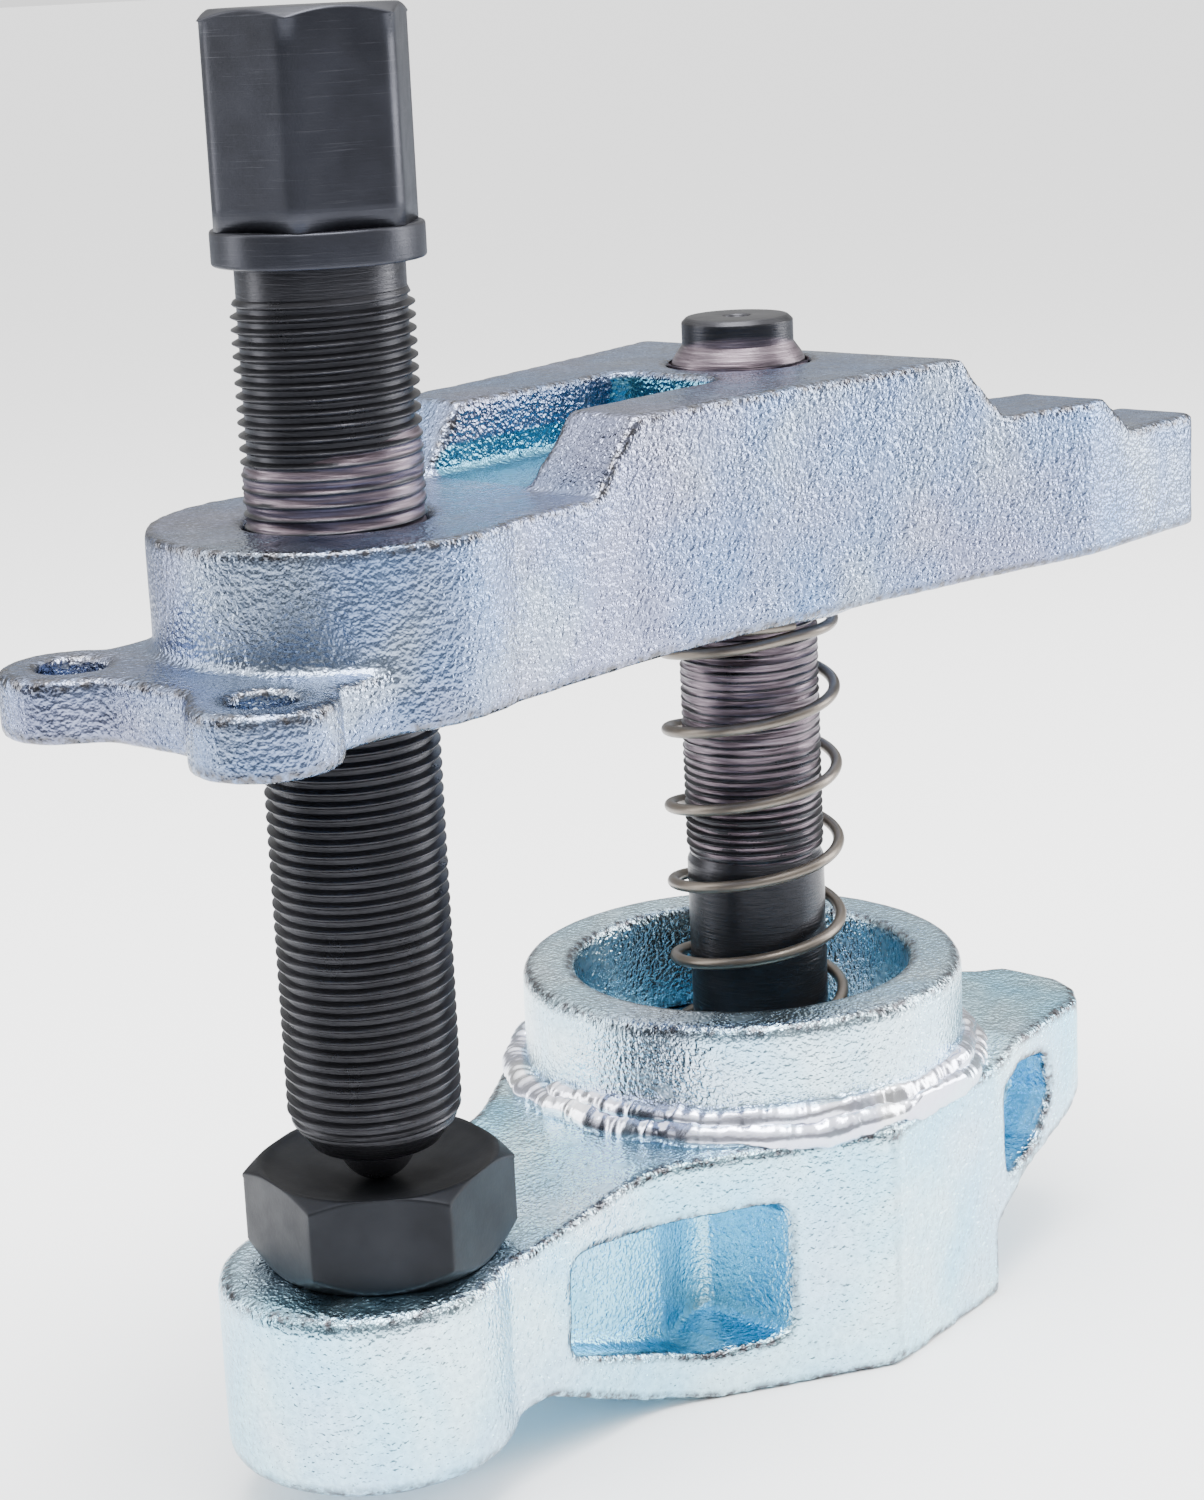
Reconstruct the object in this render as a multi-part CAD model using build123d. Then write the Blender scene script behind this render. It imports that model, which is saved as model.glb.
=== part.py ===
from build123d import *
import math
import os

# Two-arm screw press for pressing apart and squeezing together suspension joints.
# Frame: origin on the tie rod's axis in the plane the lower arm stands on.
# +Z runs up the tie rod, +X points to the jaws and -X to the thrust spindle.

# ---- driving dimensions, mm ----
ARM_SPAN = 99.5             # spindle axis to tie rod axis
FIT = 0.05                  # radial clearance of a running fit

# lower arm
HUB_TOP = 44.2
WING_TOP = 46.2
PAD_TOP = 40.4
FOOT_BOSS_BOTTOM = 9.7
NECK_BOTTOM = 13.5
FOOT_BOSS_X = -104.0
FOOT_BOSS_R = 23.7
NECK_HALF = 20.5
HUB_LEFT_X = -18.4
HUB_RIGHT_X = 17.0
HUB_HALF_LEFT = 43.5
HUB_HALF_RIGHT = 40.8
WING_TIP_X = 58.5
WING_TIP_HALF = 36.5
EDGE_R = 2.5                # rounding of the castings' edges
LOWER_NOTCH_R = 16.0
LOWER_NOTCH_X = 66.0
RECESS_R = 24.5
RECESS_TOP = 20.0
FOOT_RIM_R = 32.0

# welded cup ring
RING_X = -5.3
RING_OUTER_R = 40.0
RING_INNER_R = 30.4
RING_TOP = 64.1
BEAD_R = 4.2

# anvil: hexagon-headed cup screwed into the lower arm
ANVIL_AF = 38.0
ANVIL_CORNER_R = 21.9
ANVIL_TOP = 56.4
ANVIL_BASE_R = 18.4
DISH_R = 19.0
DISH_DEPTH = 3.6
ANVIL_STUD_R = 10.0
ANVIL_STUD_LENGTH = 24.0
ANVIL_TURN = 15.2           # degrees, angle of a corner from +X

# upper arm
UPPER_BOTTOM = 132.2
LOW_DECK = 160.6
HIGH_DECK = 172.0
JAW_DECK = 153.7
EAR_TOP = 142.4
BOSS_R = 29.3
EAR_X = -136.0
EAR_Y = 20.9
EAR_R = 11.3
EAR_FRONT_X = -139.5
EAR_NECK_HALF = 25.5
EAR_HOLE_R = 5.25
HUB_BOTTOM = 128.0
HUB_R = 22.0
UPPER_NOTCH_R = 25.0
UPPER_NOTCH_X = 58.0
JAW_TIP_X = 88.0
JAW_HALF = 42.3
CHANNEL_HALF = 10.8
CHANNEL_END = 19.2

# thrust spindle, M28 x 2
SPINDLE_R = 14.0
SPINDLE_END = 59.4
SPINDLE_THREAD_START = 62.9
FLANGE_BOTTOM = 199.5
FLANGE_TOP = 204.9
FLANGE_R = 16.2
HEAD_AF = 29.0
HEAD_CORNER_R = 16.1
HEAD_TOP = 237.0
HEAD_TURN = -23.3           # degrees, angle of a head corner from +X
NOSE_R = 6.3
NOSE_PIN_R = 4.5
NOSE_PIN_LENGTH = 16.0

# tie rod, M25 x 1.5
ROD_R = 12.5
ROD_FOOT_R = 12.0
ROD_TIP_R = 9.8
ROD_TOP = 179.9
NUT_AF = 36.0
NUT_BOTTOM = 1.5
NUT_TOP = 12.5
SEAT_SPHERE_R = 30.0
SEAT_CENTRE_Z = -9.4
SEAT_TOP_R = 22.0
SEAT_BOTTOM = 14.2

# return spring
SPRING_WIRE_R = 1.05
SPRING_MEAN_R = 15.2
SPRING_TURNS = 5.27         # open coils between the two closed ones
SPRING_CLOSED_PITCH = 2.15
SPRING_TOP_ANGLE = 250.0    # degrees, plan angle of the wire's upper end

os.makedirs("parts", exist_ok=True)


def cylinder(radius, bottom, top, x=0.0, y=0.0):
    """Upright cylinder between two heights."""
    body = Cylinder(radius, top - bottom, align=(Align.CENTER, Align.CENTER, Align.MIN))
    return Pos(x, y, bottom) * body


def cone(bottom_radius, top_radius, bottom, top, x=0.0):
    """Upright truncated cone between two heights."""
    body = Cone(bottom_radius, top_radius, top - bottom, align=(Align.CENTER, Align.CENTER, Align.MIN))
    return Pos(x, 0, bottom) * body


def hexagon(across_flats, corner_radius, bottom, top, turn, x=0.0):
    """Hexagon prism whose corners are turned down to corner_radius."""
    prism = extrude(RegularPolygon(across_flats / math.sqrt(3), 6, rotation=turn), top - bottom)
    return Pos(x, 0, bottom) * (prism & cylinder(corner_radius, 0, top - bottom))


def crowned(prism, rim_radius, top):
    """Prism whose top corners are chamfered at 30 degrees down to a round rim."""
    depth = 6.0
    limit = cone(rim_radius + depth * math.sqrt(3), rim_radius, top - depth, top)
    limit += cylinder(rim_radius + depth * math.sqrt(3), 0, top - depth)
    return prism & limit


def box_between(low, high):
    """Box from its lowest to its highest corner."""
    size = [b - a for a, b in zip(low, high)]
    return Pos(*low) * Box(*size, align=(Align.MIN, Align.MIN, Align.MIN))


def profile_band(points, half_width):
    """Solid with the given XZ side profile, symmetric about the XZ plane."""
    face = Plane.XZ * make_face(Polyline(*points, close=True))
    return extrude(face, half_width, both=True)


def mirrored(points):
    """Closed outline from its +Y half, listed from the left end to the right."""
    return points + [(x, -y) for x, y in reversed(points)]


def one_solid(shape):
    """The only solid of a finished piece."""
    solids = shape.solids()
    assert len(solids) == 1, len(solids)
    return solids[0]


def rounded_face(points, radius):
    """Flat face with a closed outline and rounded corners."""
    face = make_face(Polyline(*points, close=True))
    return fillet(face.vertices(), radius)


def lower_arm():
    """Cast foot arm: spindle boss, waisted neck, flared hub and two stub jaws."""
    half_plan = [
        (FOOT_BOSS_X, NECK_HALF), (-56, NECK_HALF), (HUB_LEFT_X, HUB_HALF_LEFT), (HUB_RIGHT_X, HUB_HALF_RIGHT),
        (WING_TIP_X - 8, WING_TIP_HALF), (WING_TIP_X - 3, WING_TIP_HALF - 4), (WING_TIP_X, 27),
    ]
    plan = make_face(Polyline(*mirrored(half_plan), close=True))
    waist = plan.vertices().filter_by(lambda v: -60 < v.X < -50)
    plan = fillet(waist, 26)
    hub_corners = plan.vertices().filter_by(lambda v: v.X > HUB_LEFT_X - 1 and abs(v.Y) > 30)
    plan = fillet(hub_corners, 2.5)
    side = profile_band([
        (FOOT_BOSS_X, NECK_BOTTOM), (-84, NECK_BOTTOM), (-60, 3), (-48, 0), (HUB_RIGHT_X, 0),
        (HUB_RIGHT_X, 13), (29, 19.5), (46, 24), (WING_TIP_X - 3, 30), (WING_TIP_X, 34),
        (WING_TIP_X, HUB_TOP), (-56, HUB_TOP), (-86, PAD_TOP), (FOOT_BOSS_X, PAD_TOP),
    ], 60)
    arm = extrude(plan, WING_TOP) & (side + wing_deck())
    arm -= cylinder(LOWER_NOTCH_R, -1, 60, LOWER_NOTCH_X)
    boss = cylinder(FOOT_BOSS_R, FOOT_BOSS_BOTTOM, PAD_TOP, FOOT_BOSS_X)
    arm += fillet(boss.edges().filter_by(GeomType.CIRCLE), EDGE_R)
    arm += cylinder(FOOT_RIM_R, 0, RECESS_TOP + 4)
    for side_sign in (1, -1):
        arm -= side_pocket(side_sign)
        arm -= wing_pocket(side_sign)
    arm -= cylinder(RING_OUTER_R, HUB_TOP, WING_TOP + 1, RING_X)
    arm -= cylinder(ANVIL_CORNER_R + 0.6, PAD_TOP, HUB_TOP, -ARM_SPAN)
    arm -= cylinder(RECESS_R, -1, RECESS_TOP)
    arm -= cone(ROD_R + 3, ROD_R + 5.5, RECESS_TOP - 1, HUB_TOP + 1)
    arm -= cylinder(ANVIL_STUD_R, PAD_TOP - ANVIL_STUD_LENGTH, PAD_TOP + 1, -ARM_SPAN)
    return one_solid(arm)


def wing_deck():
    """Part of the stub jaws that stands above the hub's top face."""
    return profile_band([(HUB_RIGHT_X, HUB_TOP), (26, WING_TOP), (60, WING_TOP), (60, HUB_TOP)], 60)


def side_pocket(side_sign):
    """Core pocket in the side of the neck, deepest beside the hub."""
    window = Plane.XZ * rounded_face([
        (-77.5, 18.5), (-76.5, 35.5), (-57, 33.3), (-35, 33.8), (-35, 9.8), (-48, 8.6), (-61, 12.5)], 2.8)
    plan = make_face(Polyline((-80, 14.5), (-49, 15.5), (-33.5, 10.5), (-30, 45), (-80, 45), close=True))
    deepest = plan.vertices().sort_by(Axis.Y)[0]
    pocket = extrude(window, 60, both=True) & extrude(fillet(deepest, 7), 60)
    return pocket if side_sign > 0 else mirror(pocket, Plane.XZ)


def wing_pocket(side_sign):
    """Shallow core pocket in the outer side of a stub jaw."""
    window = Plane.XZ * rounded_face([(20.5, 20.5), (19.8, 38), (26, 41), (36.5, 40), (38.5, 31), (33, 24.5)], 2.5)
    pocket = Pos(0, -28, 0) * extrude(window, 20)
    return mirror(pocket, Plane.XZ) if side_sign > 0 else pocket


def cup_ring():
    """Turned cup ring, stood on the hub round the tie rod."""
    ring = cylinder(RING_OUTER_R, HUB_TOP, RING_TOP, RING_X)
    ring = fillet(ring.edges().group_by(Axis.Z)[-1], 2.2)
    ring -= cylinder(RING_INNER_R, HUB_TOP - 1, RING_TOP + 1, RING_X)
    inner_rim = ring.edges().group_by(Axis.Z)[-1].sort_by(lambda e: e.radius)[0]
    return one_solid(chamfer(inner_rim, 0.8))


def ring_weld():
    """Fillet weld bead round the foot of the cup ring."""
    section = make_face(Polyline(
        (RING_OUTER_R, HUB_TOP), (RING_OUTER_R + BEAD_R, HUB_TOP), (RING_OUTER_R + 2.6, HUB_TOP + 2.6),
        (RING_OUTER_R, HUB_TOP + BEAD_R), close=True))
    bead = Pos(RING_X, 0, 0) * revolve(Plane.XZ * section, Axis.Z)
    bead &= box_between((-56, -42.6, 0), (50, 42.6, 90))
    return one_solid(bead - wing_deck())


def anvil():
    """Hexagon-headed screw whose dished head takes the spindle's nose."""
    head = hexagon(ANVIL_AF, ANVIL_CORNER_R, PAD_TOP, ANVIL_TOP, ANVIL_TURN)
    head = crowned(head, DISH_R + 0.4, ANVIL_TOP)
    head &= cone(ANVIL_BASE_R, ANVIL_BASE_R + 20, PAD_TOP, PAD_TOP + 20)
    head -= cone(3.0, DISH_R, ANVIL_TOP - DISH_DEPTH, ANVIL_TOP)
    head += cylinder(ANVIL_STUD_R, PAD_TOP - ANVIL_STUD_LENGTH, PAD_TOP)
    return one_solid(Pos(-ARM_SPAN, 0, 0) * head)


def seat_washer():
    """Hollow-coned washer under the hub, which the ball washer rocks in."""
    washer = cylinder(SEAT_TOP_R, SEAT_BOTTOM, RECESS_TOP)
    washer -= cylinder(ROD_R + 3.5, SEAT_BOTTOM - 1, RECESS_TOP + 1)
    washer -= Pos(0, 0, SEAT_CENTRE_Z) * Sphere(SEAT_SPHERE_R + FIT)
    return one_solid(washer)


def ball_washer():
    """Washer with a domed top, between the nut and the coned washer."""
    washer = cylinder(19.0, NUT_TOP, RECESS_TOP)
    washer &= Pos(0, 0, SEAT_CENTRE_Z) * Sphere(SEAT_SPHERE_R)
    washer -= cylinder(ROD_R + FIT, NUT_TOP - 1, RECESS_TOP + 1)
    return one_solid(washer)


def tie_rod():
    """Threaded tie rod with a plain shank, and a centred tip above the arm."""
    rod = cylinder(ROD_R, NUT_BOTTOM + 0.5, HIGH_DECK)
    rod += cone(ROD_FOOT_R, ROD_TIP_R, HIGH_DECK, HIGH_DECK + 3)
    rod += cylinder(ROD_TIP_R, HIGH_DECK + 3, ROD_TOP)
    rod = chamfer(rod.edges().group_by(Axis.Z)[-1], 0.9)
    rod -= cone(1.0, 2.5, ROD_TOP - 2.6, ROD_TOP)
    rod -= locking_pin_shape(3.0)
    return one_solid(rod)


def locking_pin_shape(radius):
    """Cross bore or pin through the nut and the rod's lower end."""
    pin = Cylinder(radius, NUT_AF - 2)
    return Pos(0, 0, (NUT_BOTTOM + NUT_TOP) / 2) * Rot(90, 0, 0) * pin


def rod_nut():
    """Hexagon nut on the lower end of the tie rod, which turns it."""
    nut = hexagon(NUT_AF, NUT_AF / math.sqrt(3) - 0.9, NUT_BOTTOM, NUT_TOP, 0)
    nut -= cylinder(ROD_R, NUT_BOTTOM - 1, NUT_TOP + 1)
    nut -= Pos(0, 0, (NUT_BOTTOM + NUT_TOP) / 2) * Rot(90, 0, 0) * Cylinder(3.0, NUT_AF + 10)
    return one_solid(nut)


def rod_nut_pin():
    """Spring pin that keeps the nut from turning on the rod."""
    return one_solid(locking_pin_shape(3.0) - Pos(0, 0, (NUT_BOTTOM + NUT_TOP) / 2) * Rot(90, 0, 0)
                     * Cylinder(1.4, NUT_AF))


def spring_washer():
    """Plain washer on the hub that carries the spring's lower end."""
    washer = cylinder(21.5, HUB_TOP, HUB_TOP + 2)
    return one_solid(washer - cylinder(ROD_R + 4.7, HUB_TOP - 1, HUB_TOP + 3))


def spring_height(turn):
    """Height of the wire's centre after a number of turns from its lower end."""
    start = HUB_TOP + 2 + SPRING_WIRE_R
    closed = SPRING_CLOSED_PITCH
    rise = HUB_BOTTOM - SPRING_WIRE_R - start - 2 * closed
    opened = min(max(turn - 1, 0), SPRING_TURNS)
    return start + closed * min(turn, 1) + rise * opened / SPRING_TURNS + closed * max(turn - 1 - SPRING_TURNS, 0)


def return_spring():
    """Round-wire compression spring with a closed coil at each end."""
    total = SPRING_TURNS + 2
    steps = int(total * 12)
    path = []
    for i in range(steps + 1):
        turn = total * i / steps
        angle = math.radians(SPRING_TOP_ANGLE) + 2 * math.pi * (turn - total)
        path.append((SPRING_MEAN_R * math.cos(angle), SPRING_MEAN_R * math.sin(angle), spring_height(turn)))
    wire = Spline(*path)
    section = Plane(wire @ 0, z_dir=wire % 0) * Circle(SPRING_WIRE_R)
    return one_solid(sweep(section, wire, is_frenet=False))


def upper_arm_plan():
    """Plan of the arm without its ears: neck that widens to the parallel jaws."""
    tip = JAW_TIP_X - 5
    flank = Spline((-62, 26.3), (-39, 28.2), (-8, 32.0), (27, 38.0), (48, JAW_HALF))
    half = [
        Line((-ARM_SPAN, 0), (-ARM_SPAN, BOSS_R - 1.5)), Line((-ARM_SPAN, BOSS_R - 1.5), (-62, 26.3)), flank,
        Line((48, JAW_HALF), (tip, JAW_HALF)), Line((tip, JAW_HALF), (JAW_TIP_X, JAW_HALF - 5)),
        Line((JAW_TIP_X, JAW_HALF - 5), (JAW_TIP_X, 0)), Line((JAW_TIP_X, 0), (-ARM_SPAN, 0)),
    ]
    half_face = make_face(half)
    return half_face + mirror(half_face, Plane.XZ)


def upper_arm():
    """Cast top arm: spindle boss with two ears, ribbed neck, hub and forked jaws."""
    side = profile_band([
        (-ARM_SPAN, UPPER_BOTTOM), (JAW_TIP_X, UPPER_BOTTOM), (JAW_TIP_X, JAW_DECK - 4),
        (JAW_TIP_X - 4, JAW_DECK), (62, JAW_DECK), (52.5, LOW_DECK), (27, LOW_DECK), (16.5, HIGH_DECK),
        (-58.6, HIGH_DECK), (-68.6, LOW_DECK), (-ARM_SPAN, LOW_DECK),
    ], 60)
    arm = extrude(upper_arm_plan(), HIGH_DECK + 5) & side
    arm += cylinder(BOSS_R, UPPER_BOTTOM, LOW_DECK, -ARM_SPAN)
    arm -= rib_channel()
    arm -= cylinder(UPPER_NOTCH_R, 100, 200, UPPER_NOTCH_X)
    arm -= box_between((UPPER_NOTCH_X, -UPPER_NOTCH_R, 100), (JAW_TIP_X + 1, UPPER_NOTCH_R, 200))
    arm += Pos(0, 0, UPPER_BOTTOM) * extrude(ear_plan(), EAR_TOP - UPPER_BOTTOM)
    hub = cylinder(HUB_R, HUB_BOTTOM, UPPER_BOTTOM + 1)
    arm += fillet(hub.edges().group_by(Axis.Z)[0], 3.0)
    for sign in (1, -1):
        arm -= cylinder(EAR_HOLE_R, 100, 200, EAR_X, sign * EAR_Y)
    arm -= cylinder(SPINDLE_R + FIT, 100, 200, -ARM_SPAN)
    arm -= cone(SPINDLE_R, SPINDLE_R + 1.2, LOW_DECK - 1.2, LOW_DECK, -ARM_SPAN)
    arm -= cylinder(ROD_R + FIT, 100, 200)
    return one_solid(arm)


def rib_channel():
    """Channel between the two ribs of the neck, open towards the boss."""
    plan = Pos(-70, 0) * Rectangle(2 * (70 - CHANNEL_END), 2 * CHANNEL_HALF)
    plan = fillet(plan.vertices(), 4)
    return Pos(0, 0, LOW_DECK) * extrude(plan, HIGH_DECK + 1 - LOW_DECK, taper=-6)


def ear_plan():
    """Plan of the plate in front of the boss, with two ears and waists between them."""
    plate = Pos(-ARM_SPAN, 0) * Circle(BOSS_R)
    plate += Pos((EAR_FRONT_X - ARM_SPAN) / 2, 0) * Rectangle(-ARM_SPAN - EAR_FRONT_X, 2 * EAR_Y)
    plate += Pos(-118, 0) * Rectangle(20, 2 * EAR_NECK_HALF)
    for sign in (1, -1):
        plate += Pos(EAR_X, sign * EAR_Y) * Circle(EAR_R)
    front = plate.vertices().filter_by(lambda v: v.X < EAR_X)
    return fillet(front, 7)


def spindle():
    """Thrust spindle: hexagon head, collar, threaded stem and bored lower end."""
    screw = cone(10.0, SPINDLE_R, SPINDLE_END, SPINDLE_THREAD_START)
    screw += cylinder(SPINDLE_R, SPINDLE_THREAD_START, FLANGE_BOTTOM - 4)
    screw += cylinder(SPINDLE_R - 0.8, FLANGE_BOTTOM - 4, FLANGE_BOTTOM)
    collar = cylinder(FLANGE_R, FLANGE_BOTTOM, FLANGE_TOP)
    screw += chamfer(collar.edges().filter_by(GeomType.CIRCLE), 0.5)
    head = hexagon(HEAD_AF, HEAD_CORNER_R, FLANGE_TOP, HEAD_TOP, HEAD_TURN)
    screw += crowned(head, HEAD_AF / 2 - 0.6, HEAD_TOP)
    screw -= cylinder(NOSE_PIN_R + FIT, SPINDLE_END - 1, SPINDLE_END + NOSE_PIN_LENGTH + 0.5)
    return one_solid(Pos(-ARM_SPAN, 0, 0) * screw)


def thrust_nose():
    """Hardened round-nosed pin that stands still in the cup while the spindle turns."""
    seat = ANVIL_TOP - DISH_DEPTH + 0.02
    ball = Pos(0, 0, seat + NOSE_R) * Sphere(NOSE_R)
    nose = ball & cylinder(NOSE_R + 1, seat - 1, SPINDLE_END - 0.1)
    nose += cylinder(NOSE_PIN_R, seat + NOSE_R - 1, SPINDLE_END + NOSE_PIN_LENGTH)
    nose -= groove_ring(NOSE_PIN_R - 1.0, NOSE_PIN_R + 1)
    return one_solid(Pos(-ARM_SPAN, 0, 0) * nose)


def groove_ring(inner, outer):
    """Ring-shaped space of the nose pin's retaining groove."""
    middle = SPINDLE_END + NOSE_PIN_LENGTH - 4
    return cylinder(outer, middle - 0.6, middle + 0.6) - cylinder(inner, middle - 1, middle + 1)


def nose_clip():
    """Wire ring that keeps the nose pin in the spindle's bore."""
    ring = groove_ring(NOSE_PIN_R - 1.0, NOSE_PIN_R)
    return one_solid(Pos(-ARM_SPAN, 0, 0) * (ring - box_between((0, -0.8, 0), (9, 0.8, 90))))


PIECES = {
    "lower_arm": lower_arm,
    "cup_ring": cup_ring,
    "ring_weld": ring_weld,
    "anvil": anvil,
    "seat_washer": seat_washer,
    "ball_washer": ball_washer,
    "tie_rod": tie_rod,
    "rod_nut": rod_nut,
    "rod_nut_pin": rod_nut_pin,
    "spring_washer": spring_washer,
    "return_spring": return_spring,
    "upper_arm": upper_arm,
    "spindle": spindle,
    "thrust_nose": thrust_nose,
    "nose_clip": nose_clip,
}

for name, build in PIECES.items():
    export_step(build(), f"parts/{name}.step")
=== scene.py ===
import math

import bpy
import numpy as np
from mathutils import Matrix, Vector, noise


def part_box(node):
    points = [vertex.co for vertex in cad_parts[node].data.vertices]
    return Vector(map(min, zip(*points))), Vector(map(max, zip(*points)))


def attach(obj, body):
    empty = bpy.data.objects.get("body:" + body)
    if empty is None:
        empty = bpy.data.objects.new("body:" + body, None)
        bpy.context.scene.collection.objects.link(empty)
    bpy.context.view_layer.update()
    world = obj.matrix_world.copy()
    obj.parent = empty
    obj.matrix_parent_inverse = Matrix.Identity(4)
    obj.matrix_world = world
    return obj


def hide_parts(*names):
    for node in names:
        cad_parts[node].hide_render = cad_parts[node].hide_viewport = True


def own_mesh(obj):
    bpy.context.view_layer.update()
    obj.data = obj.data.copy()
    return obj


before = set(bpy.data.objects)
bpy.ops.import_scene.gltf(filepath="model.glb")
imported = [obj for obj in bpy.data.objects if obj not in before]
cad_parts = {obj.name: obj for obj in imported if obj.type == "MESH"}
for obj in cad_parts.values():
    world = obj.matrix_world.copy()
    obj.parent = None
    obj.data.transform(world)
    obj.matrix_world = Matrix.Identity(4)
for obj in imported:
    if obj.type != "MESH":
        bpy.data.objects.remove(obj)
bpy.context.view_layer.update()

# Two-arm screw press: +Z up the tie rod, +X towards the jaws, with the tie rod's axis at the
# origin. Boxes read from the frame are in metres. Named sizes are in millimetres, apart from
# the places of the lights and the camera.
MM = 0.001
WORLD_STRENGTH = 1.5

# ---- sizes read from the frame ----
SPINDLE_LOW, SPINDLE_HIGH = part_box("spindle")
ROD_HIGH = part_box("tie_rod")[1]
RING_LOW, RING_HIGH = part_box("cup_ring")
SPINDLE_X = (SPINDLE_LOW[0] + SPINDLE_HIGH[0]) / 2
RING_X = (RING_LOW[0] + RING_HIGH[0]) / 2

# ---- spindle and rod, millimetres ----
SPINDLE_R = 14.0
SPINDLE_PITCH = 2.0
SPINDLE_END = 59.4
SPINDLE_END_R = 10.2
NOSE_BORE_R = 4.7
THREAD_BOTTOM = 62.9
THREAD_TOP = 195.3
FLANGE_BOTTOM = 199.5
FLANGE_TOP = 204.9
FLANGE_R = 16.2
HEAD_AF = 29.0
HEAD_CORNER_R = 16.1
HEAD_TOP = 237.0
HEAD_TURN = math.radians(-23.3)
ROD_R = 12.5
ROD_PITCH = 1.5
ROD_THREAD_BOTTOM = 82.5
ROD_THREAD_TOP = 172.0
ROD_TIP_R = 9.8
ANVIL_AF = 38.0
ANVIL_CORNER_R = 21.9
ANVIL_BOTTOM = 40.4
ANVIL_TOP = 56.4
ANVIL_FOOT = 3.4
ANVIL_TURN = math.radians(15.2)
DISH_R = 19.0
DISH_DEPTH = 3.6


# ---------------------------------------------------------------- mesh helpers
def add_piece(name, verts, faces, body, replaced=()):
    """Mesh object in the row frame, from points in millimetres, riding on a body."""
    mesh = bpy.data.meshes.new(name)
    points = np.asarray(verts, float) * MM
    mesh.from_pydata(points.tolist(), [], faces)
    mesh.validate()
    obj = bpy.data.objects.new(name, mesh)
    bpy.context.scene.collection.objects.link(obj)
    return dress(obj, body, replaced)


def dress(obj, body, replaced=()):
    """Smooth shading, body and stand-in nodes of a finished piece."""
    obj.data.shade_smooth()
    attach(obj, body)
    if replaced:
        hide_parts(*replaced)
    return obj


def loft(rows, closed_ends=True):
    """Vertices and faces of a skin through rows of points, each row a closed loop."""
    rows = np.asarray(rows, float)
    count, around = rows.shape[:2]
    verts = rows.reshape(-1, 3).tolist()
    faces = []
    for i in range(count - 1):
        for j in range(around):
            k = (j + 1) % around
            faces.append((i * around + j, i * around + k, (i + 1) * around + k, (i + 1) * around + j))
    if closed_ends:
        faces.append(tuple(range(around))[::-1])
        faces.append(tuple((count - 1) * around + j for j in range(around)))
    return verts, faces


def round_rows(profile, around=192, x=0.0, y=0.0):
    """Circular rows about an upright axis, from (radius, height) pairs."""
    angle = np.linspace(0, 2 * math.pi, around, endpoint=False)
    return [np.stack([x + r * np.cos(angle), y + r * np.sin(angle), np.full(around, z)], 1)
            for r, z in profile]


def soft_min(a, b, k):
    """Smaller of two lengths, with the corner between them rounded by about k."""
    low = np.minimum(a, b)
    return low - k * np.log(np.exp((low - a) / k) + np.exp((low - b) / k))


def hex_rows(profile, across_flats, turn, x=0.0, around=720, edge=0.18):
    """Rows of a hexagon whose corners are turned down to each row's radius."""
    angle = np.linspace(0, 2 * math.pi, around, endpoint=False)
    flat = across_flats / 2 / np.cos((angle - turn) % (math.pi / 3) - math.pi / 6)
    rows = []
    for limit, z in profile:
        radius = soft_min(flat, np.full(around, limit), edge) if limit > 1 else np.full(around, limit)
        rows.append(np.stack([x + radius * np.cos(angle), radius * np.sin(angle), np.full(around, z)], 1))
    return rows


def rounded_profile(corners, radius=0.4, steps=4):
    """(radius, height) polyline whose inner corners are rounded."""
    corners = [np.array(c, float) for c in corners]
    out = [corners[0]]
    for before, here, after in zip(corners, corners[1:], corners[2:]):
        into, away = here - before, after - here
        cut = min(radius, np.linalg.norm(into) * 0.45, np.linalg.norm(away) * 0.45)
        start = here - into / np.linalg.norm(into) * cut
        end = here + away / np.linalg.norm(away) * cut
        for t in np.linspace(0, 1, steps + 1):
            out.append((1 - t) ** 2 * start + 2 * t * (1 - t) * here + t ** 2 * end)
    out.append(corners[-1])
    return [tuple(p) for p in out]


def thread_skin(radius, pitch, bottom, top, x=0.0, around=96, paste=None):
    """Right-hand V thread as a helical skin, cut off level at both ends.

    paste(angle, height) gives the share of the groove that grease fills, from 0 to 1.
    """
    depth = 0.6134 * pitch
    profile = [(0.0, 0.06), (0.03, 0.0), (0.11, 0.0), (0.14, 0.06), (0.28, 0.5), (0.42, 0.95), (0.47, 1.0),
               (0.67, 1.0), (0.72, 0.95), (0.86, 0.5)]
    columns = (int((top - bottom) / pitch) + 3) * around + 1
    sweep = np.arange(columns) * 2 * math.pi / around
    rings, filled = [], []
    for along, cut in profile:
        z = bottom - 2 * pitch + pitch * sweep / (2 * math.pi) + along * pitch
        runout = 1 - np.clip(np.minimum(z - bottom, top - z) / (1.2 * pitch), 0, 1)
        drop = np.maximum(cut, 0.85 * runout) * depth
        z = np.clip(z, bottom, top)
        fill = paste(sweep, z) if paste else np.zeros(columns)
        level = (1 - fill) * depth
        rings.append(np.stack([x + (radius - np.minimum(drop, level)) * np.cos(sweep),
                               (radius - np.minimum(drop, level)) * np.sin(sweep), z], 1))
        filled.append(np.clip((drop - level) / 0.12 + 0.6 * (fill > 0.75), 0, 1))
    points = np.concatenate(rings)
    faces = []
    for ring_index in range(len(profile)):
        here, above = ring_index * columns, (ring_index + 1) * columns
        last = ring_index == len(profile) - 1
        for c in range(columns - 1 - (around if last else 0)):
            up_one = c + around if last else above + c
            face = (here + c, here + c + 1, up_one + 1, up_one)
            heights = points[list(face), 2]
            if heights.max() - heights.min() > 1e-6:
                faces.append(face)
    return points.tolist(), faces, np.concatenate(filled)


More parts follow.
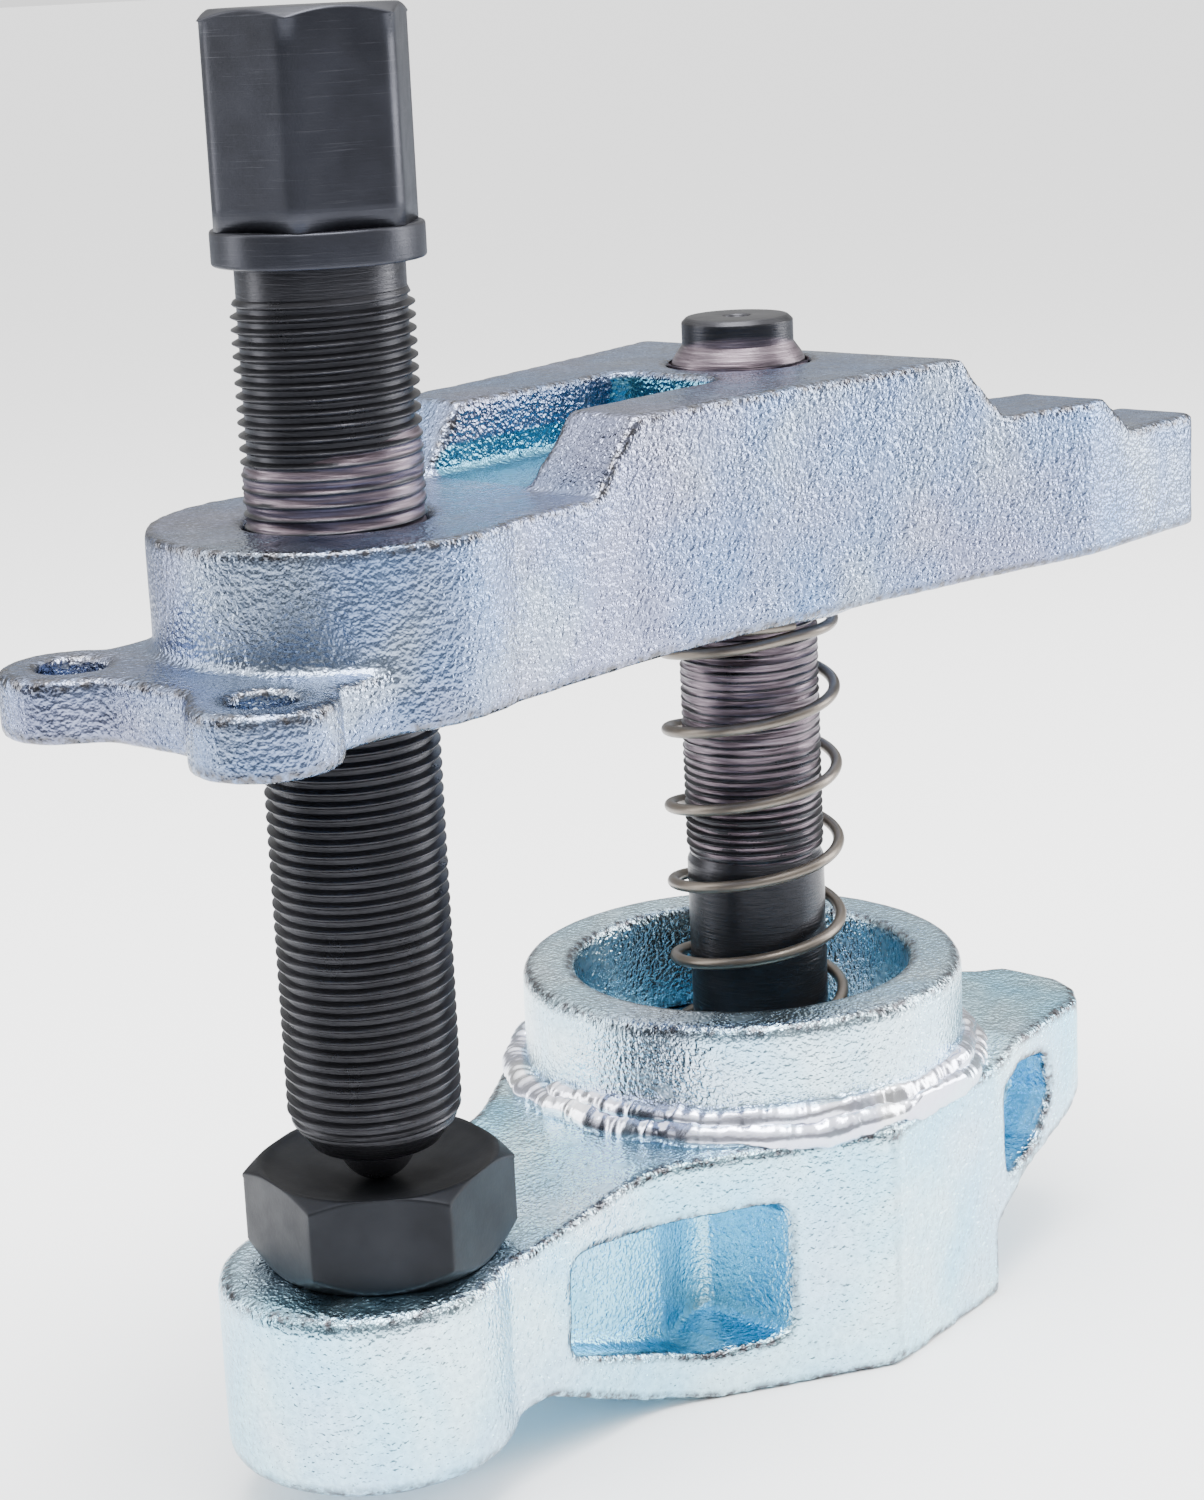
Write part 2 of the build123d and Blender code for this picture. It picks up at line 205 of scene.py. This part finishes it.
def store(obj, name, values):
    """Per-point attribute that a material reads."""
    attribute = obj.data.attributes.new(name, "FLOAT", "POINT")
    attribute.data.foreach_set("value", np.asarray(values, np.float32))


# ---------------------------------------------------------------- materials
class Nodes:
    """Small builder for a node tree."""

    def __init__(self, tree):
        self.tree = tree

    def link(self, source, target):
        self.tree.links.new(source, target)

    def ramp(self, value, stops):
        node = self.tree.nodes.new("ShaderNodeValToRGB")
        band = node.color_ramp
        while len(band.elements) < len(stops):
            band.elements.new(0.5)
        for element, (place, colour) in zip(band.elements, stops):
            element.position = place
            element.color = (*colour, 1) if len(colour) == 3 else colour
        self.link(value, node.inputs["Fac"])
        return node.outputs["Color"]

    def range(self, value, low, high, to_low, to_high):
        node = self.tree.nodes.new("ShaderNodeMapRange")
        limits = (("From Min", low), ("From Max", high), ("To Min", to_low), ("To Max", to_high))
        for name, number in limits:
            node.inputs[name].default_value = number
        self.link(value, node.inputs["Value"])
        return node.outputs["Result"]

    def math(self, operation, a, b=None):
        node = self.tree.nodes.new("ShaderNodeMath")
        node.operation = operation
        for socket, value in zip(node.inputs, (a, b)):
            if value is None:
                continue
            if isinstance(value, (int, float)):
                socket.default_value = value
            else:
                self.link(value, socket)
        return node.outputs["Value"]

    def mix(self, factor, a, b, mode="MIX"):
        node = self.tree.nodes.new("ShaderNodeMix")
        node.data_type = "RGBA"
        node.blend_type = mode
        for socket, value in ((node.inputs["Factor"], factor), (node.inputs[6], a), (node.inputs[7], b)):
            if isinstance(value, (int, float)):
                socket.default_value = value
            elif isinstance(value, tuple):
                socket.default_value = (*value, 1)
            else:
                self.link(value, socket)
        return node.outputs[2]

    def bump(self, height, distance, strength=1.0, before=None):
        node = self.tree.nodes.new("ShaderNodeBump")
        node.inputs["Distance"].default_value = distance
        node.inputs["Strength"].default_value = strength
        self.link(height, node.inputs["Height"])
        if before is not None:
            self.link(before, node.inputs["Normal"])
        return node.outputs["Normal"]


class Surface(Nodes):
    """Node tree of one new material, with its shader and object coordinates."""

    def __init__(self, name):
        self.material = bpy.data.materials.new(name)
        self.material.use_nodes = True
        super().__init__(self.material.node_tree)
        self.shader = self.tree.nodes["Principled BSDF"]
        self.coords = self.tree.nodes.new("ShaderNodeTexCoord").outputs["Object"]

    def noise(self, scale, detail=3.0, rough=0.5, distortion=0.0, vector=None):
        node = self.tree.nodes.new("ShaderNodeTexNoise")
        node.inputs["Scale"].default_value = scale
        node.inputs["Detail"].default_value = detail
        node.inputs["Roughness"].default_value = rough
        node.inputs["Distortion"].default_value = distortion
        self.link(vector or self.coords, node.inputs["Vector"])
        return node.outputs["Fac"]

    def stretch(self, scale):
        node = self.tree.nodes.new("ShaderNodeMapping")
        node.inputs["Scale"].default_value = scale
        self.link(self.coords, node.inputs["Vector"])
        return node.outputs["Vector"]

    def attribute(self, name):
        node = self.tree.nodes.new("ShaderNodeAttribute")
        node.attribute_name = name
        return node.outputs["Fac"]

    def set(self, **values):
        for name, value in values.items():
            socket = self.shader.inputs[name.replace("_", " ")]
            if isinstance(value, (int, float)):
                socket.default_value = value
            elif isinstance(value, tuple):
                socket.default_value = (*value, 1)
            else:
                self.link(value, socket)
        return self.material


def zinc(name, light, tint, deep, rose, hollow, smooth=False):
    """Bright zinc over a shot-blasted casting: drifting tints, sparkle and worn dark edges."""
    n = Surface(name)
    drift = n.noise(38, 2, 0.5, 0.6)
    colour = n.ramp(drift, [(0.34, light), (0.5, tint), (0.68, deep)])
    colour = n.mix(n.range(n.noise(24, 2, 0.5), 0.50, 0.66, 0, 0.6), colour, rose)
    colour = n.mix(n.attribute("hollow"), colour, hollow)
    grains = n.noise(900, 4, 0.6)
    speckle = n.ramp(grains, [(0.36, (0.50, 0.52, 0.56)), (0.62, (1, 1, 1))])
    colour = n.mix(0.15 if smooth else 0.45, colour, speckle, "MULTIPLY")
    edges = n.range(n.attribute("wear"), 0.3, 0.8, 0, 1)
    worn = n.math("MULTIPLY", edges, n.range(n.noise(560, 5, 0.7), 0.38, 0.58, 0.1, 1))
    colour = n.mix(worn, colour, (0.10, 0.10, 0.11))
    rough = n.range(n.noise(160, 3), 0.3, 0.7, 0.17, 0.30)
    pebble = n.noise(1250, 1.5, 0.5)
    coarse = n.noise(420, 2, 0.5)
    normal = n.bump(coarse, 0.0006, 0.2 if smooth else 0.3)
    normal = n.bump(pebble, 0.0004, 0.1 if smooth else 0.9, normal)
    return n.set(Base_Color=colour, Metallic=1.0, Roughness=rough, Normal=normal)


def oxide(name, base, rough_low, rough_high, lines=None, greased=False):
    """Black-oxided steel with an oil film, worn edges, machining lines and grease if asked."""
    n = Surface(name)
    cloud = n.noise(55, 3, 0.55)
    colour = n.ramp(cloud, [(0.3, tuple(c * 0.75 for c in base)), (0.7, tuple(c * 1.35 for c in base))])
    rough = n.range(n.noise(120, 4, 0.6), 0.3, 0.7, rough_low, rough_high)
    normal = n.bump(n.noise(1400, 3, 0.6), 0.00004, 0.5)
    if lines:
        scratch = n.noise(1.0, 4, 0.65, 0, n.stretch(lines))
        normal = n.bump(scratch, 0.00005, 0.8, normal)
        colour = n.mix(n.range(scratch, 0.60, 0.78, 0, 0.35), colour, (0.16, 0.16, 0.18))
    edges = n.range(n.attribute("wear"), 0.2, 0.9, 0, 1)
    scuff = n.math("MULTIPLY", edges, n.range(n.noise(700, 4, 0.7), 0.5, 0.62, 0, 1))
    colour = n.mix(scuff, colour, (0.42, 0.40, 0.41))
    if greased:
        streak = n.noise(1.0, 4, 0.6, 0.3, n.stretch((120, 120, 2400)))
        grease = n.ramp(streak, [
            (0.3, (0.06, 0.045, 0.055)), (0.55, (0.14, 0.11, 0.13)), (0.75, (0.30, 0.25, 0.28))])
        film = n.attribute("paste")
        colour = n.mix(film, colour, grease)
        rough = n.math("ADD", rough, n.range(film, 0, 1, 0, 0.06))
        normal = n.bump(streak, 0.00016, 0.8, normal)
    return n.set(Base_Color=colour, Metallic=0.75, Roughness=rough, Normal=normal,
                 Specular_IOR_Level=0.25)


# Both arms are one zinc finish in two copies: the upper copy is darker as painted shade, and the lower
# copy is brighter and more cyan as painted light from below.
ZINC_UPPER_PAINTED_SHADE = zinc("zinc_casting_upper", (0.28, 0.34, 0.44), (0.20, 0.27, 0.42), (0.16, 0.25, 0.43),
                  (0.28, 0.27, 0.37), (0.07, 0.30, 0.42))
ZINC_LOWER_PAINTED_LIGHT = zinc("zinc_casting_lower", (0.64, 0.88, 0.96), (0.46, 0.79, 0.94), (0.34, 0.72, 0.94),
                  (0.66, 0.74, 0.88), (0.10, 0.52, 0.76))
ZINC_RING = zinc("zinc_ring", (0.70, 0.88, 0.95), (0.56, 0.80, 0.93), (0.48, 0.74, 0.92),
                 (0.74, 0.76, 0.88), (0.18, 0.60, 0.80))
OXIDE_HEAD = oxide("black_oxide_spindle", (0.030, 0.031, 0.038), 0.30, 0.42, (60, 60, 2600))
OXIDE_THREAD = oxide("black_oxide_thread", (0.028, 0.028, 0.032), 0.25, 0.4, greased=True)
WELD = zinc("weld_bead", (0.86, 0.87, 0.90), (0.70, 0.72, 0.86), (0.66, 0.80, 0.90),
            (0.70, 0.70, 0.86), (0.5, 0.7, 0.8), smooth=True)
OXIDE_ANVIL = oxide("black_oxide_anvil", (0.014, 0.015, 0.018), 0.42, 0.55)
SPRING_STEEL = oxide("oiled_spring", (0.14, 0.12, 0.10), 0.3, 0.42)
HARDENED = oxide("hardened_nose", (0.10, 0.10, 0.11), 0.2, 0.3)


# ---------------------------------------------------------------- castings
def casting(node, name, body, material, voxel, smoothing, relief):
    """Cast piece grown from its CAD solid: rounded edges, waviness and a wear map."""
    blank = bpy.data.objects.new(name + "_blank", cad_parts[node].data.copy())
    bpy.context.scene.collection.objects.link(blank)
    remesh = blank.modifiers.new("remesh", "REMESH")
    remesh.mode = "VOXEL"
    remesh.voxel_size = voxel * MM
    smooth = blank.modifiers.new("smooth", "SMOOTH")
    smooth.factor = 0.5
    smooth.iterations = smoothing
    depsgraph = bpy.context.evaluated_depsgraph_get()
    mesh = bpy.data.meshes.new_from_object(blank.evaluated_get(depsgraph))
    mesh.name = name
    bpy.data.objects.remove(blank)
    obj = bpy.data.objects.new(name, mesh)
    bpy.context.scene.collection.objects.link(obj)
    mesh.materials.clear()
    mesh.materials.append(material)
    mark_wear(mesh)
    swell(mesh, relief)
    return dress(obj, body, (node,))


def mesh_arrays(mesh):
    """Points, vertex normals and edges of a mesh as arrays."""
    points = np.zeros(len(mesh.vertices) * 3)
    mesh.vertices.foreach_get("co", points)
    normals = np.zeros(len(mesh.vertices) * 3)
    mesh.vertices.foreach_get("normal", normals)
    edges = np.zeros(len(mesh.edges) * 2, int)
    mesh.edges.foreach_get("vertices", edges)
    return points.reshape(-1, 3), normals.reshape(-1, 3), edges.reshape(-1, 2)


def neighbour_mean(values, edges):
    """Mean of each vertex's neighbours."""
    total = np.zeros_like(values)
    count = np.zeros(len(values))
    for a, b in ((0, 1), (1, 0)):
        np.add.at(total, edges[:, a], values[edges[:, b]])
        np.add.at(count, edges[:, a], 1)
    return total / np.maximum(count, 1).reshape(-1, *[1] * (values.ndim - 1))


def mark_wear(mesh):
    """Stores how far each point stands out as an edge, from 0 to 1."""
    points, normals, edges = mesh_arrays(mesh)
    spacing = np.linalg.norm(points[edges[:, 0]] - points[edges[:, 1]], axis=1).mean()
    bulge = np.einsum("ij,ij->i", points - neighbour_mean(points, edges), normals) / spacing
    for _ in range(3):
        bulge = neighbour_mean(bulge, edges)
    for name, values in (("wear", bulge / 0.07), ("hollow", hollow_share(points))):
        attribute = mesh.attributes.new(name, "FLOAT", "POINT")
        attribute.data.foreach_set("value", np.clip(values, 0, 1).astype(np.float32))


def within(values, span):
    """Where values lie between the two ends of a span."""
    return (values > span[0]) & (values < span[1])


def hollow_share(points):
    """How deep each point lies in a pocket of the castings, where the zinc turns cyan."""
    x, y, z = (points / MM).T
    neck_half_width = np.interp(x, [-60, -18], [19.6, 42]) - 1.2
    channel = (abs(y) < 11.3) & within(x, (-66, -18)) & within(z, (160.2, 171.2))
    neck = (abs(y) < neck_half_width) & within(x, (-78, -33)) & within(z, (9, 35.5))
    wing = (abs(y) < 34) & within(x, (19, 39)) & within(z, (20, 41))
    return np.where(channel, 0.8, np.where(neck | wing, 0.55, 0.0))


def swell(mesh, relief):
    """Pushes the skin in and out by a few hundredths, as a blasted casting shows."""
    points, normals, _ = mesh_arrays(mesh)
    push = np.array([
        0.6 * noise.noise(Vector(p) * 95) + 0.4 * noise.noise(Vector(p) * 330) - 0.5 for p in points])
    points += normals * (push * relief * MM)[:, None]
    mesh.vertices.foreach_set("co", points.ravel())
    mesh.update()


VOXEL = 0.75
casting("upper_arm", "upper_arm_casting", "upper_arm_body", ZINC_UPPER_PAINTED_SHADE, VOXEL, 10, 0.14)
casting("lower_arm", "lower_arm_casting", "lower_frame", ZINC_LOWER_PAINTED_LIGHT, VOXEL, 10, 0.14)
casting("cup_ring", "cup_ring_turned", "lower_frame", ZINC_RING, VOXEL, 6, 0.08)


# ---------------------------------------------------------------- spindle
def spindle_head():
    """Milled hexagon head with turned corners and a collar below it."""
    rim = HEAD_AF / 2 - 0.5
    chamfer = [(rim + (HEAD_TOP - z) * math.sqrt(3), z)
               for z in np.linspace(HEAD_TOP - 1.6, HEAD_TOP - 0.15, 10)]
    top = [(rim, HEAD_TOP - 0.02), (rim - 0.4, HEAD_TOP), (rim * 0.5, HEAD_TOP), (0.01, HEAD_TOP)]
    side = [(HEAD_CORNER_R, z) for z in np.linspace(FLANGE_TOP, HEAD_TOP - 1.8, 9)]
    hexagon = hex_rows(side + chamfer + top, HEAD_AF, HEAD_TURN, SPINDLE_X / MM)
    collar = rounded_profile([
        (2, FLANGE_BOTTOM), (FLANGE_R, FLANGE_BOTTOM), (FLANGE_R, FLANGE_TOP),
        (HEAD_AF / 2 - 0.5, FLANGE_TOP)], 0.6)
    body = round_rows(collar, 720, SPINDLE_X / MM)
    return loft(body + hexagon)


verts, faces = spindle_head()
head = add_piece("spindle_head_hex", verts, faces, "spindle_body", ("spindle",))
head.data.materials.append(OXIDE_HEAD)


def ripple(angle, height, scale, seed):
    """Streaky noise round a threaded stem, about -1 to 1, long round it and short along it."""
    return np.array([noise.noise(Vector((math.cos(a) * 1.6, math.sin(a) * 1.6, h * scale + seed)))
                     for a, h in zip(angle, height)])


def spindle_grease(angle, height):
    """Grease wiped up by the arm: thick just above the deck, with a ragged upper edge."""
    edge = 172.5 + 2.5 * np.cos(angle + 0.5)
    cover = np.clip((edge - height) / 1.6, 0, 1) * np.clip((height - 132) / 4, 0, 1)
    return np.clip(cover * (0.72 + 0.5 * ripple(angle, height, 1.1, 3.0)), 0, 0.93)


def rod_grease(angle, height):
    """Grease in the tie rod's grooves, thinning out towards the plain shank."""
    cover = np.interp(height, [84, 90, 96, 104, 172], [0.25, 0.15, 0.45, 1.0, 1.0])
    patches = 0.74 + 0.62 * ripple(angle, height, 0.9, 11.0) + 0.25 * ripple(angle, height, 0.18, 5.0)
    return np.clip(cover * patches, 0, 0.95)


def tip_grease(angle, height, tip):
    """Grease smeared round the foot of the tie rod's tip, higher on the spindle's side."""
    edge = ROD_THREAD_TOP + 3.0 + 2.2 * np.cos(angle + 2.4)
    cover = np.clip((edge - height) / 0.8, 0, 1) * (height > ROD_THREAD_TOP) * (height < tip - 1)
    return np.clip(cover * (0.9 + 0.6 * ripple(angle, height, 0.5, 17.0)), 0, 1)


verts, faces, filled = thread_skin(
    SPINDLE_R, SPINDLE_PITCH, THREAD_BOTTOM, THREAD_TOP, SPINDLE_X / MM, paste=spindle_grease)
stem = add_piece("spindle_thread", verts, faces, "spindle_body", ("spindle",))
stem.data.materials.append(OXIDE_THREAD)
store(stem, "paste", filled)

core_r = SPINDLE_R - 0.6134 * SPINDLE_PITCH + 0.15
verts, faces = loft(round_rows(rounded_profile([
    (NOSE_BORE_R, SPINDLE_END), (SPINDLE_END_R, SPINDLE_END), (core_r, THREAD_BOTTOM + 0.2),
    (core_r, THREAD_TOP), (core_r, FLANGE_BOTTOM + 0.2),
    (4, FLANGE_BOTTOM + 0.2)], 0.5), 192, SPINDLE_X / MM))
core = add_piece("spindle_core", verts, faces, "spindle_body", ("spindle",))
core.data.materials.append(OXIDE_THREAD)

# ---------------------------------------------------------------- tie rod
verts, faces, filled = thread_skin(ROD_R, ROD_PITCH, ROD_THREAD_BOTTOM, ROD_THREAD_TOP, paste=rod_grease)
rod_thread = add_piece("tie_rod_thread", verts, faces, "tie_rod_body", ("tie_rod",))
rod_thread.data.materials.append(OXIDE_THREAD)
store(rod_thread, "paste", filled)
shank_r = ROD_R - 0.05
rod_core = ROD_R - 0.6134 * ROD_PITCH + 0.12
tip = ROD_HIGH[2] / MM
verts, faces = loft(round_rows(rounded_profile([
    (0.01, 2.0), (shank_r, 2.0), (shank_r, ROD_THREAD_BOTTOM - 1.2), (rod_core, ROD_THREAD_BOTTOM + 0.4),
    (rod_core, ROD_THREAD_TOP + 0.1), (ROD_TIP_R + 1.4, ROD_THREAD_TOP + 1.2),
    (ROD_TIP_R, ROD_THREAD_TOP + 3.2),
    *[(ROD_TIP_R, z) for z in np.linspace(ROD_THREAD_TOP + 3.6, tip - 1.3, 12)],
    (ROD_TIP_R, tip - 0.9), (ROD_TIP_R - 0.9, tip), (2.5, tip), (1.0, tip - 2.6),
    (0.01, tip - 3.2)], 0.35), 192))
shank = add_piece("tie_rod_shank", verts, faces, "tie_rod_body", ("tie_rod",))
shank.data.materials.append(OXIDE_THREAD)
shank_points = np.array(verts)
shank_angle = np.arctan2(shank_points[:, 1], shank_points[:, 0])
store(shank, "paste", tip_grease(shank_angle, shank_points[:, 2], tip))


# ---------------------------------------------------------------- anvil
def anvil_skin():
    """Hexagon head of the anvil with chamfered corners and a dished top."""
    rim = DISH_R + 0.4
    foot = [(ANVIL_CORNER_R - ANVIL_FOOT + (z - ANVIL_BOTTOM), z)
            for z in np.linspace(ANVIL_BOTTOM, ANVIL_BOTTOM + ANVIL_FOOT, 10)]
    side = [(ANVIL_CORNER_R, z) for z in np.linspace(ANVIL_BOTTOM + 3.6, ANVIL_TOP - 2.2, 5)]
    crown = [(rim + (ANVIL_TOP - z) * math.sqrt(3), z)
             for z in np.linspace(ANVIL_TOP - 2.0, ANVIL_TOP - 0.1, 12)]
    dish = [(rim, ANVIL_TOP - 0.02), (rim - 0.3, ANVIL_TOP), (DISH_R - 0.4, ANVIL_TOP - 0.05)]
    for r in np.linspace(DISH_R - 0.8, 0.01, 14):
        dish.append((r, ANVIL_TOP - DISH_DEPTH * (1 - (r / DISH_R) ** 2) - 0.05))
    return loft(hex_rows(foot + side + crown + dish, ANVIL_AF, ANVIL_TURN, SPINDLE_X / MM))


verts, faces = anvil_skin()
anvil = add_piece("anvil_head", verts, faces, "lower_frame", ("anvil",))
anvil.data.materials.append(OXIDE_ANVIL)


# ---------------------------------------------------------------- weld bead
def weld_pass(radius, height, thick, tall, seed, start, end):
    """One run of weld round the ring's foot: a ropy bead with ripples and swellings."""
    steps = 900
    rows = []
    turn = np.linspace(0, 2 * math.pi, 28, endpoint=False)
    for share in np.linspace(0, 1, steps):
        angle = math.radians(start + (end - start) * share)
        along = angle * radius
        swell_here = (1 + 0.28 * noise.noise(Vector((along * 0.13, seed, 0)))
                      + 0.12 * noise.noise(Vector((along * 0.5, seed, 3))))
        fade = min(1, share * 40, (1 - share) * 40) ** 0.5
        wander = 0.9 * noise.noise(Vector((along * 0.09, seed, 7)))
        lift = 1.0 * noise.noise(Vector((along * 0.07, seed, 9)))
        row = []
        for t in turn:
            drift = 7 * noise.noise(Vector((along * 0.2, seed, 1)))
            lumps = noise.noise(Vector((along * 0.16, math.cos(t) * 0.9 + seed, math.sin(t) * 0.9)))
            ripple_here = 0.07 * math.sin(along * 1.9 + 2.0 * math.cos(t) + drift)
            ripple_here += 0.45 * lumps
            out = (thick * swell_here + ripple_here) * math.cos(t) * fade + wander
            rise = (tall * swell_here + ripple_here) * math.sin(t) * fade + lift
            r = radius + out
            y = np.clip(r * math.sin(angle), -43.2, 43.2)
            row.append((RING_X / MM + r * math.cos(angle), y, height + rise))
        rows.append(row)
    return loft(rows)


for name, settings in (("weld_lower_pass", (41.6, 45.0, 2.9, 2.7, 2.0, -262, 98)),
                       ("weld_upper_pass", (40.4, 47.4, 2.2, 2.4, 8.0, -200, 40))):
    verts, faces = weld_pass(*settings)
    bead = add_piece(name, verts, faces, "lower_frame", ("ring_weld",))
    bead.data.materials.append(WELD)


# ---------------------------------------------------------------- return spring
def spring_wire():
    """Return spring copied from its CAD node in oiled spring steel, riding on the rocker."""
    wire = bpy.data.objects.new("return_spring_wire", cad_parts["return_spring"].data.copy())
    bpy.context.scene.collection.objects.link(wire)
    wire.data.materials.clear()
    wire.data.materials.append(SPRING_STEEL)
    dress(wire, "rocker", ("return_spring",))
    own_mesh(wire)


spring_wire()

# ---------------------------------------------------------------- the CAD nodes that show as they are
for node, material in (("thrust_nose", HARDENED), ("nose_clip", HARDENED),
                       ("rod_nut", OXIDE_HEAD), ("rod_nut_pin", HARDENED), ("seat_washer", HARDENED),
                       ("ball_washer", HARDENED), ("spring_washer", ZINC_RING)):
    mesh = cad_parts[node].data
    mesh.materials.clear()
    mesh.materials.append(material)

# ---------------------------------------------------------------- floor, light and camera
FLOOR_REACH = 30.0


def pale_floor():
    """Wide pale floor that metal sees as darker further out."""
    r = FLOOR_REACH
    mesh = bpy.data.meshes.new("floor")
    mesh.from_pydata([(-r, -r, 0), (r, -r, 0), (r, r, 0), (-r, r, 0)], [], [(0, 1, 2, 3)])
    plane = bpy.data.objects.new("floor", mesh)
    bpy.context.scene.collection.objects.link(plane)
    n = Surface("floor")
    distance = n.tree.nodes.new("ShaderNodeVectorMath")
    distance.operation = "LENGTH"
    n.link(n.coords, distance.inputs[0])
    fade = n.range(distance.outputs["Value"], 0.28, 0.75, 0, 1)
    mirrored = n.mix(fade, (0.95, 0.96, 0.97), (0.30, 0.32, 0.36))
    seen = n.tree.nodes.new("ShaderNodeLightPath").outputs["Is Camera Ray"]
    n.set(Base_Color=n.mix(seen, mirrored, (0.93, 0.93, 0.93)), Roughness=0.9, Specular_IOR_Level=0.0)
    mesh.materials.append(n.material)


def studio_world():
    """Pale surround: darker low down and towards one side, so that metal has something to mirror."""
    world = bpy.data.worlds.new("studio")
    world.use_nodes = True
    n = Nodes(world.node_tree)
    backdrop = n.tree.nodes["Background"]
    direction = n.tree.nodes.new("ShaderNodeTexCoord").outputs["Generated"]
    parts = n.tree.nodes.new("ShaderNodeSeparateXYZ")
    n.link(direction, parts.inputs["Vector"])
    dome = n.ramp(parts.outputs["Z"], [(place, (grey,) * 3) for place, grey in
                                       ((0.0, 0.50), (0.10, 0.42), (0.42, 0.30), (0.62, 1.3), (1.0, 2.4))])
    west = n.math("MULTIPLY", parts.outputs["X"], -1)
    dark_side = n.range(west, 0.88, 0.99, 1, 0.25)
    shade = n.mix(1.0, dome, dark_side, "MULTIPLY")
    seen = n.tree.nodes.new("ShaderNodeLightPath").outputs["Is Camera Ray"]
    n.link(n.mix(seen, shade, (0.95, 0.95, 0.95)), backdrop.inputs["Color"])
    backdrop.inputs["Strength"].default_value = WORLD_STRENGTH
    bpy.context.scene.world = world


pale_floor()
studio_world()


def area(name, place, aim, size, power):
    """Soft rectangular light at place, pointing at aim."""
    light = bpy.data.lights.new(name, "AREA")
    light.shape = "RECTANGLE"
    light.size, light.size_y = size
    light.energy = power
    lamp = bpy.data.objects.new(name, light)
    lamp.location = place
    lamp.rotation_euler = (Vector(aim) - Vector(place)).to_track_quat("-Z", "Y").to_euler()
    bpy.context.scene.collection.objects.link(lamp)


area("left", (-0.55, 0.62, 0.30), (0, 0, 0.1), (0.30, 0.9), 6)
area("right", (0.75, -0.55, 0.35), (0, 0, 0.1), (0.35, 0.9), 16)
area("top", (-0.15, -0.1, 1.0), (0, 0, 0.1), (0.6, 0.6), 22)

PITCH = math.radians(13.181)
YAW = math.radians(48.519)
ROLL = math.radians(-2.633)
forward = Vector((math.sin(YAW) * math.cos(PITCH), math.cos(YAW) * math.cos(PITCH), -math.sin(PITCH)))
level = Vector((math.cos(YAW), -math.sin(YAW), 0))
upright = level.cross(forward)
right = level * math.cos(ROLL) + upright * math.sin(ROLL)
up = upright * math.cos(ROLL) - level * math.sin(ROLL)
camera_data = bpy.data.cameras.new("camera")
camera_data.lens = 73.46
camera_data.shift_y = -0.0485
camera_data.shift_x = -0.0006
camera_data.clip_start = 0.01
camera = bpy.data.objects.new("camera", camera_data)
camera.matrix_world = Matrix((
    (right.x, up.x, -forward.x, -0.41897),
    (right.y, up.y, -forward.y, -0.33528),
    (right.z, up.z, -forward.z, 0.24144),
    (0, 0, 0, 1)))
bpy.context.scene.collection.objects.link(camera)
bpy.context.scene.camera = camera
